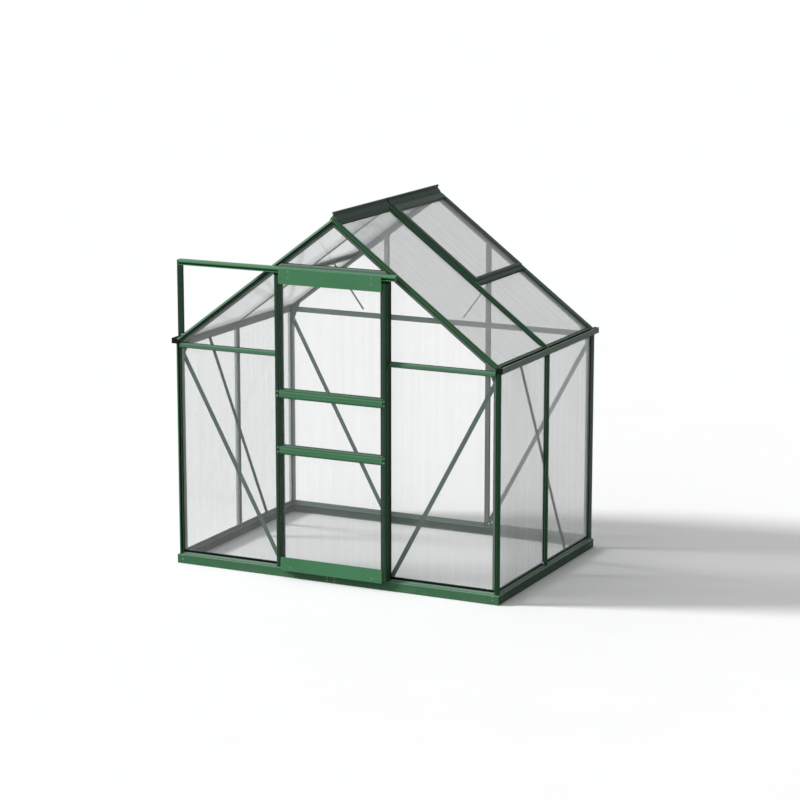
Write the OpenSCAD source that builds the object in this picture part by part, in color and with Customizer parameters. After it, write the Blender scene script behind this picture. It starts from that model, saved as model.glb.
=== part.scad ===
// Hobby greenhouse: a bolted frame of painted aluminium sections on a low folded base,
// glazed with twin-wall polycarbonate sheets, with a sliding door and two roof vents.
// The ground is z = 0, the door gable faces -Y and the ridge runs along Y.

/* [Building] */
// Width of the base across the door gable
base_w = 1900; // [1700:10:2300]
// Depth of the base from gable to gable
base_d = 1290; // [1150:10:2000]
// Height of the roof line at the frame's side faces
eave_z = 1231; // [1000:1:1500]
// Pitch of both roof slopes in degrees
pitch = 36.8; // [34:0.1:38]
// How far the middle of the gables' ties lies below the eaves
tie_drop = 31; // [28:1:60]

/* [Base] */
// Height of the folded base channel
base_h = 50; // [40:1:120]
// Thickness of the base's folded sheet
base_t = 2; // [1.5:0.5:3]
// Width of the base's top flange
base_top_flange = 36; // [32:1:45]
// Width of the base's bottom flange
base_foot_flange = 22; // [15:1:35]
// Outside radius of the channel's folded edges
fold_r = 4; // [3:0.5:6]
// How far the frame stands inside the base's face
frame_inset = 5; // [3:1:10]

/* [Frame sections] */
// Wall thickness of the extruded sections
wall = 2; // [1.5:0.5:3]
// Width and depth of the rounded nose of a corner section
nose = 24; // [20:1:30]
// Radius of the corner section's rounded edge
nose_r = 16; // [6:1:16]
// Width of the rounded cap that a corner section shows in the gable
cap_w = 14; // [12:1:18]
// Depth of the rebate beside the cap, for the glazing seal
rebate_d = 8; // [4:1:10]
// Width of the flanges that carry the sheets beside a corner nose
flange = 18; // [12:1:24]
// Width of a glazing bar's nose
bar_w = 26; // [20:1:32]
// Depth of a glazing bar's nose
bar_nose = 15.5; // [12:0.5:15.5]
// Radius of a glazing bar's rounded nose
bar_r = 8; // [4:1:11]
// Width of a glazing bar's web
web = 8; // [5:1:12]
// Depth from the frame's face to the outside of the sheets
sheet_depth = 18; // [18:0.5:20]
// Height of the ledge that the sheets stand on, over the base
sill_h = 12; // [10:1:40]
// Height of the lip behind the sheets, over the ledge
sill_lip = 11; // [8:1:20]

/* [Sheets] */
// Thickness of the twin-wall sheets
sheet_t = 4; // [3:0.5:4]
// Room left round each sheet's edge
sheet_gap = 1; // [0.5:0.5:2]

/* [Gutters] */
// Width of the trough outside the frame's face
trough_out = 19; // [14:1:26]
// Depth of the trough under its front lip
trough_h = 30; // [24:1:36]
// Height of the trough's lip over the roof line at the eaves
trough_rise = 7; // [4:1:9]
// How far in from the frame's face the eave flange covers the roof sheets
eave_lap = 36; // [24:1:45]

/* [Ridge] */
// Height of the bead's middle over the apex
ridge_rise = 24; // [16:1:35]
// Radius of the ridge bead
bead_r = 6; // [4:0.5:8]
// Half width of the ridge cap's flared foot
ridge_foot = 20; // [16:1:22]
// Length of the ridge's flange down the front bay
ridge_flange = 42; // [40:1:80]
// Height of the ridge's web below the apex
ridge_web = 46; // [44:1:60]
// How far the ridge cap stops short of the frame's gable faces
ridge_inset = 13; // [8:1:20]
// Gap between the two lengths of ridge cap
cap_joint = 3; // [2:0.5:5]

/* [Vents] */
// Distance from the apex down to each vent's top edge
vent_top = 31; // [30:1:50]
// Length of each vent down the slope
vent_len = 615; // [400:1:700]
// Width of the vent's side bars
vent_bar = 22; // [18:1:30]
// Width of the vent's top bar
vent_head = 36; // [26:1:50]
// Width of the vent's foot bar
vent_foot = 22; // [20:1:40]
// How far the foot bar's drip lip reaches over the cross bar
vent_drip = 6.5; // [4:0.5:8]
// How far the vent stands proud of the rafters
vent_proud = 8; // [4:1:14]
// Running gap round the vent
vent_gap = 0.5; // [0.3:0.1:1.5]
// Length of the stay that hangs under the vent
stay_len = 318; // [200:1:360]
// Width of the stay
stay_w = 14; // [8:1:20]
// Thickness of the stay
stay_t = 4; // [2:0.5:5]

/* [Door] */
// Width of the doorway between its two posts
doorway_w = 601; // [560:1:640]
// How far the door laps over the doorway at each side
door_lap = 25.5; // [20:0.5:35]
// Height of the door's foot over the ground
door_foot_z = 60; // [56:1:100]
// How far the bar over the doorway reaches past the door posts' middles
header_spare = 46; // [40:1:60]
// Depth of the door's frame
door_depth = 22; // [18:1:26]
// Width of the nose of a door stile
stile_nose = 24; // [20:1:30]
// Height of the door's cross rails
rail_h = 40; // [30:1:60]
// Heights of the middle of the two cross rails
rail_zs = [699, 1000];
// Room between the door and the base's front
door_clear = 5; // [5:0.5:10]
// Thickness of the plates across the door's head and foot
plate_t = 3; // [2:0.5:5]
// How far the plates stop short of the door's edges
plate_inset = 28; // [12:1:45]
// How far the head plate reaches over the rollers' pins
head_plate_rise = 13; // [10:1:14]
// How far the head plate covers the frame below the top rail
head_plate_lap = 5; // [0:1:20]
// How far the foot plate hangs under the door
foot_plate_drop = 16; // [5:1:30]
// How far the foot plate rises over the bottom rail
foot_plate_rise = 18; // [0:1:30]

/* [Track] */
// Height of the track
track_h = 30; // [28:1:36]
// Distance of the track's left end in from the frame's side face
track_inset = 42; // [30:1:60]
// How far the track's right end reaches past the door post
track_over = 48.5; // [30:0.5:80]
// Room between the door's head and the track
head_clear = 13; // [8:1:15]
// Room between the track and the door's head plate
track_clear = 5; // [5:0.5:8]
// Height of the slot along the track's front
track_slot = 9.5; // [8:0.5:12]
// Radius of the rollers
roller_r = 8; // [6:0.5:9]
// Width of the rollers
roller_w = 8; // [5:0.5:10]
// Distance of the rollers in from the head plate's ends
roller_inset = 57; // [40:1:90]
// Running gap between the rollers and the track's floor
roller_gap = 0.3; // [0.2:0.1:0.5]
// Radius of the rollers' pins
pin_r = 2; // [1.5:0.5:2.5]

/* [Bracing] */
// Width of the flat braces
brace_w = 24; // [12:1:30]
// Thickness of the braces and gusset plates
brace_t = 2; // [1.5:0.5:3]
// Height of the middle of the braces' feet over the base
brace_rise = 15; // [13:1:30]
// Width of the gusset plates
gusset_w = 70; // [50:1:90]
// How far the gusset plates reach below the ties' middles
gusset_drop = 85; // [60:1:140]

/* [Hidden] */

paint = "#2f6b47";
dark_paint = "#4a544f";
sheet_colour = "#dfe6e4c0";
nylon = "#d8d8d2";
zinc = "#a9acaa";

slack = 0.3;                              // assembly clearance between pieces
seat = 0.05;                              // room between faces that rest on each other
far = 3000;                               // reach of the cutting shapes
brace_lap = 32;                           // height of the gable braces' ends above the gussets' feet
frame_w = base_w - 2 * frame_inset;
frame_d = base_d - 2 * frame_inset;
face_y = frame_d / 2;
face_x = frame_w / 2;
apex_z = eave_z + face_x * tan(pitch);    // height of the rafters' outer faces at the apex
tie_z = eave_z - tie_drop;
inner_depth = sheet_depth + sheet_t;      // outside of the flanges behind the sheets
back_depth = inner_depth + wall;          // inside face of the frame
section_w = nose + flange;
corner_clear = section_w + slack;
mullion_x = (doorway_w + bar_w) / 2;
sill_top = base_h + sill_h;
lip_top = sill_top + sill_lip;
sill_toe = 3;                             // height of the sill's front edge
trough_z = eave_z + trough_rise - trough_h;
slope_len = face_x / cos(pitch);
vent_end = vent_top + vent_len;
cross_s = vent_end - vent_drip + vent_gap + bar_w / 2;  // roof cross bar below the vents
door_back_y = -base_d / 2 - door_clear;
door_front_y = door_back_y - door_depth;
plate_y = door_front_y - plate_t;
frame_shift = (-plate_y - base_d / 2) / 2;

// The bar over the doorway lies as high as the rafters let it span both door posts
header_z = apex_z - (mullion_x + header_spare) * tan(pitch);
header_foot = header_z - bar_w / 2;
track_z = header_z - track_h - 1;
track_left = face_x - track_inset;
track_right = mullion_x + bar_w / 2 + track_over;
track_depth = frame_inset + door_clear + door_depth - track_clear;
roller_z = track_z + wall + roller_gap + roller_r;

door_w = doorway_w + 2 * door_lap;
door_head_z = track_z - head_clear;
plate_w = door_w - 2 * plate_inset;
roller_pitch = plate_w - 2 * roller_inset;
head_plate_z = [door_head_z - rail_h - head_plate_lap, roller_z + head_plate_rise];
foot_plate_z = [door_foot_z - foot_plate_drop, door_foot_z + rail_h + foot_plate_rise];

eave_leg = 22;                            // how far the eave's leg hangs behind the wall sheets
eave_reach = 9;                           // depth of the channel that holds the roof sheets' feet
sheet_top = 20;                           // distance of the roof sheets' tops from the apex
bar_start = sheet_top + 6;                // distance of the roof bars' noses from the apex
seat_reach = 2 * sheet_top;               // length of the ridge's seats down the slopes

// ---------- helpers ----------

// Height of a line parallel to the roof, "drop" below the rafters' outer faces
function roof_z(x, drop) = apex_z - abs(x) * tan(pitch) - drop / cos(pitch);

function arc(c, r, a0, a1, n) = [for (i = [0:n]) c + r * [cos(a0 + (a1 - a0) * i / n), sin(a0 + (a1 - a0) * i / n)]];

function unit(v) = v / norm(v);
function left_of(v) = [-v[1], v[0]];
function step(p, i) = left_of(unit(p[i + 1] - p[i]));
function mitre(p, i, d) = i == 0 ? p[0] + d * step(p, 0)
    : i == len(p) - 1 ? p[i] + d * step(p, i - 1)
    : p[i] + d * (step(p, i - 1) + step(p, i)) / (1 + step(p, i - 1) * step(p, i));

// A strip of even thickness along a folded path, its corners mitred
module folded(p, t) {
    last = len(p) - 1;
    polygon(concat([for (i = [0:last]) mitre(p, i, t / 2)],
                   [for (i = [last:-1:0]) mitre(p, i, -t / 2)]));
}

module in_frame() { translate([0, frame_shift, 0]) children(); }
module front() { translate([0, -face_y, 0]) children(); }
module back() { mirror([0, 1, 0]) front() children(); }
module left() { translate([-face_x, 0, 0]) children(); }
module right() { mirror([1, 0, 0]) left() children(); }
module both_sides() { children(); mirror([1, 0, 0]) children(); }
module right_slope() { translate([0, 0, apex_z]) rotate([0, pitch, 0]) children(); }
module left_slope() { mirror([1, 0, 0]) right_slope() children(); }

// Carries an (x, z) outline along y, or a (y, z) outline along x
module along_y(y0, y1) { translate([0, y1, 0]) rotate([90, 0, 0]) linear_extrude(y1 - y0) children(); }
module along_x(x0, x1) { translate([x0, 0, 0]) rotate([90, 0, 90]) linear_extrude(x1 - x0) children(); }

module box(low, high) { translate(low) cube(high - low); }

// Everything under a line parallel to the roof, between two half widths
module under_roof(drop, z0, x0, x1) {
    along_y(-far, far) polygon([
        [x0, z0], [x1, z0], [x1, roof_z(x1, drop)],
        if (x0 < 0 && x1 > 0) [0, roof_z(0, drop)],
        [x0, roof_z(x0, drop)]]);
}

// ---------- sections: first axis along the wall, second axis depth from the face ----------

module corner_nose() {
    difference() {
        nose_outline(0, nose_r);
        nose_outline(wall, nose_r - wall);
    }
}

module nose_outline(inset, r) {
    side = nose - 2 * inset;
    difference() {
        translate([inset, inset]) intersection() {
            square(side);
            union() {
                translate([r, r]) circle(r, $fn = 48);
                translate([r, 0]) square(side);
                translate([0, r]) square(side);
            }
        }
        translate([cap_w - inset, -nose]) square([nose, nose + rebate_d + inset]);
    }
}

// The same section with its gable side along the second axis, as the rafters have it
module rafter_nose() { mirror([1, -1]) corner_nose(); }

// The two flanges beside the nose, one behind the sheet of each wall
module gable_flange() { translate([nose, inner_depth]) square([flange, wall]); }
module side_flange() { translate([inner_depth, nose]) square([wall, flange]); }

module bar_nose_section() {
    difference() {
        bar_outline(0, bar_r);
        bar_outline(wall, bar_r - wall);
    }
}

module bar_outline(inset, r) {
    half = bar_w / 2 - inset;
    depth = bar_nose - inset;
    translate([-half, inset]) intersection() {
        square([2 * half, depth - inset]);
        union() {
            for (x = [r, 2 * half - r]) translate([x, r]) circle(r, $fn = 32);
            translate([r, 0]) square([2 * half - 2 * r, depth]);
            translate([0, r]) square([2 * half, depth]);
        }
    }
}

module bar_web_section() {
    translate([-web / 2, bar_nose]) square([web, inner_depth - bar_nose]);
    translate([-bar_w / 2, inner_depth]) square([bar_w, wall]);
}

// Hollow sill: a sloping front, a ledge for the sheets and a lip behind them
module sill_section() {
    shelf = sheet_depth - wall / 2;
    difference() {
        polygon([
            [wall, 0], [back_depth, 0], [back_depth, sill_h + sill_lip], [inner_depth, sill_h + sill_lip],
            [inner_depth, sill_h], [shelf, sill_h], [wall, sill_toe]]);
        polygon([
            [3 * wall, wall], [inner_depth, wall], [inner_depth, sill_h - wall],
            [shelf, sill_h - wall], [3 * wall, sill_toe + wall / 4]]);
    }
}

// Outline of the folded channel with its two front edges rounded, open to the inside
module fold_outline(inset, r) {
    high = base_h - 2 * inset;
    translate([inset, inset]) {
        for (z = [r, high - r]) translate([r, z]) circle(r, $fn = 24);
        translate([r, 0]) square([base_top_flange, high]);
        translate([0, r]) square([base_top_flange, high - 2 * r]);
    }
}

module base_section() {
    difference() {
        fold_outline(0, fold_r);
        fold_outline(base_t, fold_r - base_t);
        translate([base_top_flange, -1]) square([2 * base_top_flange, base_h + 2]);
        translate([base_foot_flange, -1]) square([base_top_flange, base_h / 2]);
    }
}

// ---------- base ----------

// One side of the base ring, mitred at both ends; local x along the side, y inwards
module base_side(length) {
    intersection() {
        along_x(-length / 2, length / 2) base_section();
        linear_extrude(2 * base_h, center = true) polygon([
            [-length / 2, 0], [length / 2, 0], [length / 2 - length / 4, length / 4],
            [length / 4 - length / 2, length / 4]]);
    }
}

module base_front() { color(paint) in_frame() translate([0, -base_d / 2, 0]) base_side(base_w); }
module base_back() { color(paint) in_frame() rotate(180) translate([0, -base_d / 2, 0]) base_side(base_w); }
module base_left() { color(paint) in_frame() rotate(-90) translate([0, -base_w / 2, 0]) base_side(base_d); }
module base_right() { color(paint) in_frame() rotate(90) translate([0, -base_w / 2, 0]) base_side(base_d); }

// ---------- sills ----------

module sill_length(u0, u1) { translate([0, 0, base_h]) along_x(u0, u1) sill_section(); }

module sill_front() {
    color(paint) in_frame() front() both_sides()
        sill_length(mullion_x + bar_w / 2 + slack, face_x - nose - slack);
}

module sill_back() {
    color(paint) in_frame() back() {
        both_sides() sill_length(mullion_x + bar_w / 2 + slack, face_x - nose - slack);
        sill_length(-mullion_x + bar_w / 2 + slack, mullion_x - bar_w / 2 - slack);
    }
}

// Turns a piece drawn on the front wall round to the left wall
module on_left() { rotate(-90) translate([0, -face_x, 0]) children(); }

module sill_sides() {
    color(paint) in_frame() both_sides() on_left() both_sides()
        sill_length(bar_w / 2 + slack, face_y - nose - slack);
}

// ---------- posts and bars of the walls ----------

// Corner post at the front left
module corner_post() {
    front() left() intersection() {
        union() {
            translate([0, 0, base_h]) linear_extrude(far) corner_nose();
            translate([0, 0, lip_top + slack]) linear_extrude(far) side_flange();
        }
        translate([face_x, 0, 0]) under_roof(nose + slack, 0, -face_x - 1, 0);
    }
    front() left() intersection() {
        translate([0, 0, lip_top + slack]) linear_extrude(far) gable_flange();
        translate([face_x, 0, 0]) under_roof(section_w + slack, 0, -face_x - 1, 0);
    }
}

module post_front_left() { color(paint) in_frame() corner_post(); }
module post_front_right() { color(paint) in_frame() mirror([1, 0, 0]) corner_post(); }
module post_back_left() { color(paint) in_frame() mirror([0, 1, 0]) corner_post(); }
module post_back_right() { color(paint) in_frame() rotate(180) corner_post(); }

// Upright glazing bar at u along the front wall, its nose and its web cut to their own tops
module upright(u, nose_drop, web_drop, nose_top, web_top) {
    intersection() {
        translate([u, 0, base_h]) linear_extrude(nose_top - base_h) bar_nose_section();
        under_roof(nose_drop, 0, -face_x, face_x);
    }
    intersection() {
        translate([u, 0, lip_top + slack]) linear_extrude(web_top - lip_top - slack) bar_web_section();
        under_roof(web_drop, 0, -face_x, face_x);
    }
}

module door_posts() {
    color(paint) in_frame() front() both_sides()
        upright(mullion_x, nose + slack, section_w + slack, header_foot - slack, header_foot - slack);
}

module mullions_back() {
    color(paint) in_frame() back() both_sides()
        upright(mullion_x, nose + slack, section_w + slack, far, far);
}

// The side bars' noses end under the gutter's floor and under the channel beside it
module mullions_side() {
    channel_z = on_slope(eave_reach - wall / 2, inner_depth + seat + wall)[1];
    top = min(trough_z, channel_z) - slack;
    color(paint) in_frame() both_sides() on_left() {
        translate([0, 0, base_h]) linear_extrude(top - base_h) bar_nose_section();
        translate([0, 0, lip_top + slack]) linear_extrude(trough_z - eave_leg - lip_top - 2 * slack) bar_web_section();
    }
}

// ---------- eaves and ridge ----------

// Depth of the eave parts is measured inwards from the frame's face, upwards is z
function on_slope(d, drop) = [d, eave_z + d * tan(pitch) - drop / cos(pitch)];

module eave_inner_section() {
    under = inner_depth + seat + wall / 2;
    over = sheet_depth - seat - wall / 2;
    leg = inner_depth + wall / 2;
    folded([[leg, trough_z - eave_leg], on_slope(leg, under), on_slope(eave_reach, under),
            on_slope(eave_reach, over), on_slope(eave_lap, over)], wall);
    folded([[leg, trough_z + wall / 2], [-wall / 2, trough_z + wall / 2]], wall);
}

trough_lip = 6;                           // width of the trough's turned-in lip
trough_end = 18;                          // how far the trough's ends reach in over the frame

module trough_section() {
    lip = trough_lip;
    folded([[0, trough_z + wall / 2], [wall / 2 - trough_out, trough_z + wall / 2],
            [wall / 2 - trough_out, trough_z + trough_h - wall / 2],
            [lip - trough_out, trough_z + trough_h - wall / 2]], wall);
}

module trough_end_section() {
    corner = 8;
    top = trough_z + trough_h;
    polygon([[-trough_out, trough_z], [trough_end, trough_z], [trough_end, top - corner],
             [trough_end - corner, top], [-trough_out, top]]);
}

module gutter() {
    cap = 2.5;
    reach = face_y - corner_clear - slack;
    left() {
        along_y(-reach, reach) eave_inner_section();
        difference() {
            along_y(-base_d / 2, base_d / 2) trough_section();
            box([-slack, -face_y - slack, 0], [far, -reach, far]);
            box([-slack, reach, 0], [far, face_y + slack, far]);
        }
        for (y = [-base_d / 2, base_d / 2 - cap]) along_y(y, y + cap) trough_end_section();
    }
}

module gutter_left() { color(dark_paint) in_frame() gutter(); }
module gutter_right() { color(dark_paint) in_frame() mirror([1, 0, 0]) gutter(); }

// The cap over both slopes: a bead on a web that flares out to the rafters' faces
module ridge_cap_section() {
    foot = ridge_foot;
    neck = 1.5;
    neck_z = ridge_rise - bead_r;
    flare = arc([foot, neck_z], foot - neck + 0.3, 180, 270 - pitch + 14, 8);
    rim = [foot, -foot * tan(pitch)];
    translate([0, ridge_rise]) circle(bead_r, $fn = 32);
    translate([-neck, neck_z - wall]) square([2 * neck, 2 * wall]);
    for (m = [0, 1]) mirror([m, 0]) polygon(concat([[0, neck_z]], flare, [rim + [0, 1.5], rim, [0, 0]]));
}

// Flanges that cover the top edges of the front bay's sheets
module ridge_flange_section() {
    tuck = 0.6;
    rim = ridge_foot / cos(pitch);
    for (m = [0, 1]) mirror([m, 0]) rotate(-pitch)
        polygon([[wall, tuck], [rim - wall, tuck], [rim + wall, -wall],
                 [ridge_flange, wall - sheet_depth + seat], [ridge_flange, seat - sheet_depth],
                 [ridge_flange - 8, seat - sheet_depth], [rim, -2 * wall], [wall, -2 * wall]]);
}

// Web and seats under the cap
module ridge_seat_section() {
    translate([-wall, -ridge_web]) square([2 * wall, ridge_web]);
    for (m = [0, 1]) mirror([m, 0]) rotate(-pitch)
        polygon([[inner_depth * tan(pitch), -inner_depth - seat], [seat_reach, -inner_depth - seat],
                 [seat_reach, -back_depth], [back_depth * tan(pitch), -back_depth]]);
}

module ridge() {
    cap_end = face_y - ridge_inset;
    seat_end = face_y - corner_clear - slack;
    color(dark_paint) in_frame() translate([0, 0, apex_z]) {
        for (m = [0, 1]) mirror([0, m, 0]) along_y(cap_joint / 2, cap_end) ridge_cap_section();
        along_y(-seat_end, -bar_w / 2 - slack) ridge_flange_section();
        along_y(-seat_end, seat_end) ridge_seat_section();
    }
}

// ---------- gable rafters and roof bars ----------

// Cuts a rafter upright at the apex and at a depth from the frame's face
module rafter_trim(d) { along_y(-far, far) polygon([[0, 0], [face_x - d, 0], [face_x - d, far], [0, far]]); }

module rafter() {
    intersection() {
        right_slope() translate([0, -face_y, 0]) along_x(-far / 3, far) mirror([0, 1]) rafter_nose();
        rafter_trim(wall);
    }
    intersection() {
        right_slope() translate([0, -face_y, 0]) along_x(-far / 3, far) mirror([0, 1]) side_flange();
        rafter_trim(nose + slack);
    }
    intersection() {
        right_slope() translate([0, -face_y, 0]) along_x(-far / 3, far) mirror([0, 1]) gable_flange();
        rafter_trim(nose + slack);
        along_y(-far, far) polygon([[0, 0], [far, 0], [far, far], [0, far]]);
    }
}

module rafter_front_left() { color(paint) in_frame() mirror([1, 0, 0]) rafter(); }
module rafter_front_right() { color(paint) in_frame() rafter(); }
module rafter_back_left() { color(paint) in_frame() rotate(180) rafter(); }
module rafter_back_right() { color(paint) in_frame() mirror([0, 1, 0]) rafter(); }

module roof_bar() {
    nose_end = slope_len - 2 * wall;
    web_end = slope_len - back_depth / cos(pitch) - eave_reach - wall - 3;
    right_slope() along_x(bar_start, nose_end) mirror([0, 1]) bar_nose_section();
    right_slope() along_x(seat_reach + 2 * wall, web_end) mirror([0, 1]) bar_web_section();
}

module roof_bars() { color(paint) in_frame() both_sides() roof_bar(); }

module roof_cross_bar() {
    right_slope() translate([cross_s, 0, 0]) rotate([0, 0, 90]) {
        along_x(bar_w / 2 + slack, face_y - nose - slack) mirror([0, 1]) bar_nose_section();
        along_x(bar_w / 2 + slack, face_y - section_w - slack) mirror([0, 1]) bar_web_section();
    }
}

module roof_cross_bars() { color(dark_paint) in_frame() both_sides() roof_cross_bar(); }

// ---------- ties, header and track ----------

tie_end = 8;                              // room between a tie's web and the post's flange

// Glazing bar lying along the front wall
module lying_nose(u0, u1, z) { translate([0, 0, z]) rotate([0, 90, 0]) translate([0, 0, u0]) linear_extrude(u1 - u0) bar_nose_section(); }
module lying_web(u0, u1, z) { translate([0, 0, z]) rotate([0, 90, 0]) translate([0, 0, u0]) linear_extrude(u1 - u0) bar_web_section(); }

module tie_length(u0, u1, end_clear) {
    lying_nose(u0, u1 - slack, tie_z);
    lying_web(u0, u1 - end_clear, tie_z);
}

module tie_front() {
    color(paint) in_frame() front() both_sides()
        tie_length(mullion_x + bar_w / 2 + slack, face_x - nose, flange + tie_end);
}

module tie_back() {
    color(paint) in_frame() back() {
        both_sides() tie_length(mullion_x + bar_w / 2 + slack, face_x - nose, flange + tie_end);
        lying_nose(-mullion_x + bar_w / 2 + slack, mullion_x - bar_w / 2 - slack, tie_z);
        lying_web(-mullion_x + bar_w / 2 + slack, mullion_x - bar_w / 2 - slack, tie_z);
    }
}

module door_header() {
    color(paint) in_frame() front() {
        intersection() {
            lying_nose(-face_x, face_x, header_z);
            under_roof(nose + slack, 0, -face_x, face_x);
        }
        intersection() {
            lying_web(-face_x, face_x, header_z);
            under_roof(section_w + slack, 0, -face_x, face_x);
        }
    }
}

// Hooded track, open along a slot at the front: first axis out from the frame's face, then up
module track_section() {
    r = 12;
    deep = track_depth;
    t = wall;
    hood_foot = 3 + t + track_slot;
    folded(concat([[deep - t / 2, 5], [deep - t / 2, t / 2], [t / 2, t / 2], [t / 2, track_h - t / 2]],
                  arc([deep - t / 2 - r, track_h - t / 2 - r], r, 90, 0, 8),
                  [[deep - t / 2, hood_foot]]), t);
}

module track_end_section() {
    r = 13;
    polygon(concat([[0, 0], [track_depth, 0]], arc([track_depth - r, track_h - r], r, 0, 90, 8), [[0, track_h]]));
}

module door_track() {
    end_t = 2;
    color(paint) in_frame() front() translate([0, 0, track_z]) {
        along_x(-track_left, track_right) mirror([1, 0]) track_section();
        for (x = [-track_left, track_right - end_t]) along_x(x, x + end_t) mirror([1, 0]) track_end_section();
    }
}

module track_support() {
    w = 27;
    lap = 4;
    x0 = -track_left - w + lap;
    color(paint) in_frame() front() difference() {
        box([x0, 0, 0], [x0 + w, door_depth, track_z + track_h - 2 * lap]);
        box([x0 + wall, wall, 0], [x0 + w - wall, far, far]);
        under_roof(0, -far, -face_x, 0);
    }
}

// ---------- gussets and braces ----------

// Plate between the rafter and the post, tapering down to a narrow foot
module gusset_outline() {
    outer = face_x - back_depth - slack;
    inner = outer - gusset_w;
    tip = brace_w / 4;
    foot = tie_z - gusset_drop;
    under = back_depth + slack;
    polygon([[outer, foot], [outer - tip, foot], [inner, roof_z(inner, under)], [outer, roof_z(outer, under)]]);
}

module gusset() { translate([0, back_depth + seat, 0]) along_y(0, brace_t) gusset_outline(); }

module gussets() {
    color(paint) in_frame() {
        front() both_sides() gusset();
        back() both_sides() gusset();
    }
}

// Flat strip between two points (along, up) of the front wall, at a depth
module brace(p, q, depth) {
    turn = atan2(q[1] - p[1], q[0] - p[0]);
    translate([p[0], depth, p[1]]) rotate([0, -turn, 0]) translate([0, 0, -brace_w / 2])
        cube([norm(q - p), brace_t, brace_w]);
}

module braces() {
    end_depth = back_depth + brace_t + seat;
    low = [mullion_x + bar_w / 2 - 1, base_h + brace_rise];
    high = [face_x - back_depth - brace_w / 2, tie_z - gusset_drop + brace_lap];
    side_low = [-face_y * 0.47, base_h + brace_rise];
    side_high = [face_y * 0.5, trough_z - brace_w / 2 - 2];
    color(zinc) in_frame() {
        front() both_sides() brace(low, high, end_depth);
        back() both_sides() brace(low, high, end_depth);
        both_sides() on_left() brace(side_low, side_high, back_depth);
    }
}

// ---------- sheets ----------

edge = sheet_gap + web / 2;
roof_edge = nose + sheet_gap;
sheet_foot_z = sill_top;

// Cut sheet between two places along a gable wall, from z0 up to z1 or the rafters
module gable_sheet(u0, u1, z0, z1) {
    intersection() {
        translate([0, sheet_depth, 0]) box([u0, 0, z0], [u1, sheet_t, z1]);
        under_roof(roof_edge, 0, -face_x, face_x);
    }
}

module side_bay_sheets() {
    u0 = mullion_x + edge;
    u1 = face_x - nose - sheet_gap;
    both_sides() {
        gable_sheet(u0, u1, sheet_foot_z, tie_z - edge);
        gable_sheet(u0, u1, tie_z + edge, far);
    }
}

module sheets_front() {
    color(sheet_colour) in_frame() front() {
        side_bay_sheets();
        gable_sheet(-face_x, face_x, header_z + edge, far);
    }
}

module sheets_back() {
    u = mullion_x - edge;
    color(sheet_colour) in_frame() back() {
        side_bay_sheets();
        gable_sheet(-u, u, sheet_foot_z, tie_z - edge);
        gable_sheet(-u, u, tie_z + edge, far);
    }
}

module wall_sheets() {
    on_left() both_sides() box([edge, sheet_depth, sheet_foot_z],
        [face_y - nose - sheet_gap, inner_depth, trough_z - slack]);
}

module sheets_left() { color(sheet_colour) in_frame() wall_sheets(); }
module sheets_right() { color(sheet_colour) in_frame() mirror([1, 0, 0]) wall_sheets(); }

module roof_sheets() {
    foot = (face_x - eave_reach - wall / 2 - sheet_gap + sheet_depth * sin(pitch)) / cos(pitch);
    right_slope() {
        box([sheet_top, -face_y + nose + sheet_gap, -inner_depth], [foot, -edge, -sheet_depth]);
        box([cross_s + edge, edge, -inner_depth], [foot, face_y - nose - sheet_gap, -sheet_depth]);
    }
}

module roof_sheets_right() { color(sheet_colour) in_frame() roof_sheets(); }
module roof_sheets_left() { color(sheet_colour) in_frame() mirror([1, 0, 0]) roof_sheets(); }

// ---------- vents ----------

vent_y0 = bar_w / 2 + vent_gap;
vent_y1 = face_y - nose - vent_gap;
vent_floor = -bar_nose - 0.5;
vent_sheet_z = vent_floor + 6;
vent_s0 = vent_top + vent_head;           // upper and lower edges of the vent's opening
vent_s1 = vent_end - vent_foot;
vent_groove = 8;                          // depth of the groove that holds the vent's sheet
vent_lip = 4;                             // height of the drip lip's upper face

module vent_frame() {
    y0 = vent_y0;
    y1 = vent_y1;
    bar_end = vent_end - vent_drip;
    edge = vent_bar - vent_groove;
    right_slope() difference() {
        union() {
            box([vent_top, y0, vent_floor], [vent_s0, y1, vent_proud]);
            box([vent_s1, y0, vent_floor], [bar_end, y1, vent_proud]);
            box([vent_s1, y0, slack], [vent_end, y1, vent_lip]);
            for (y = [y0, y1 - vent_bar])
                box([vent_s0 + slack, y, vent_floor], [vent_s1 - slack, y + vent_bar, vent_proud]);
        }
        // groove for the sheet
        box([vent_s0 - vent_groove, y0 + edge, vent_sheet_z - slack],
            [vent_s1 + vent_groove, y1 - edge, vent_sheet_z + sheet_t + slack]);
    }
}

module vent_sheet() {
    lap = vent_groove - 1;
    right_slope() box([vent_s0 - lap, vent_y0 + vent_bar - lap, vent_sheet_z],
                      [vent_s1 + lap, vent_y1 - vent_bar + lap, vent_sheet_z + sheet_t]);
}

// Flat stay that hangs from a small foot under the vent's foot bar
module vent_stay() {
    mid = (vent_y0 + vent_y1) / 2;
    foot = 14;
    s = vent_s1 + foot / 2;
    half = stay_w / 2;
    right_slope() {
        box([s - foot / 2, mid - foot, vent_floor - stay_t], [s + foot / 2, mid + foot, vent_floor]);
        box([s - stay_t / 2, mid - half, vent_floor - stay_len], [s + stay_t / 2, mid + half, vent_floor]);
    }
}

module vent_frames() { color(dark_paint) in_frame() both_sides() vent_frame(); }
module vent_sheets() { color(sheet_colour) in_frame() both_sides() vent_sheet(); }
module vent_stays() { color(zinc) in_frame() both_sides() vent_stay(); }

// ---------- door ----------

door_sheet_depth = 12;
door_seat_depth = door_sheet_depth + sheet_t;
door_half = door_w / 2;

// Door pieces are drawn with y = 0 on the front of its frame
module on_door() { in_frame() translate([0, door_front_y, 0]) children(); }

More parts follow.
